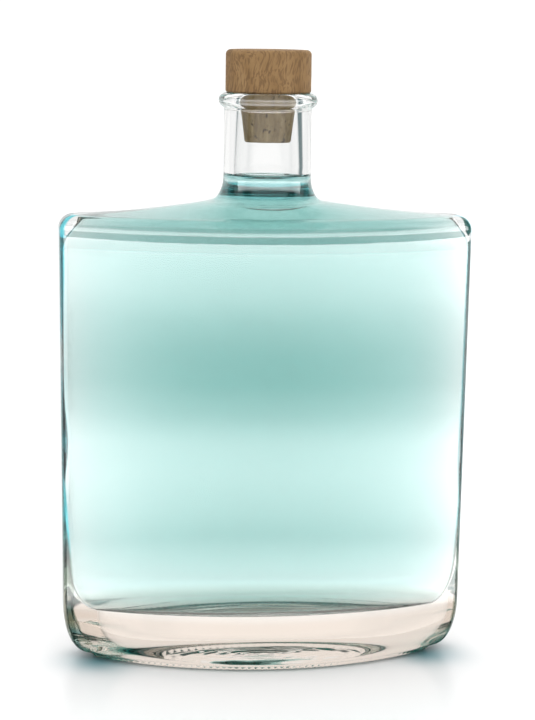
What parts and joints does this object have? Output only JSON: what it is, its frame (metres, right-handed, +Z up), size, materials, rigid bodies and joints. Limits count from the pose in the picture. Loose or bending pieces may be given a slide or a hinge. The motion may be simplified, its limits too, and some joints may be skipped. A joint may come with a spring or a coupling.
{
  "type": "flat flask bottle with a cork stopper",
  "caption": "Flat flask bottle of clear glass with a lens-shaped body, thick base and short neck, closed by a wooden-headed cork stopper.",
  "frame": {"origin": "centre of the foot, on the surface that the bottle stands on", "axes": "+Z up along the neck, X across the wide faces, -Y towards the front"},
  "size_m": [0.1264, 0.053, 0.1864],
  "materials": {
    "glass": "polished",
    "beech": "satin",
    "cork": "matte",
    "liquid": "polished"
  },
  "bodies": {
    "bottle": {"glass_bottle": "glass"},
    "stopper": {"stopper_head": "beech", "stopper_cork": "cork"}
  },
  "joints": [
    {"name": "stopper_lift", "type": "slide", "parent": "bottle", "child": "stopper", "axis": [0, 0, 1], "range_m": [0, 0.04]}
  ]
}
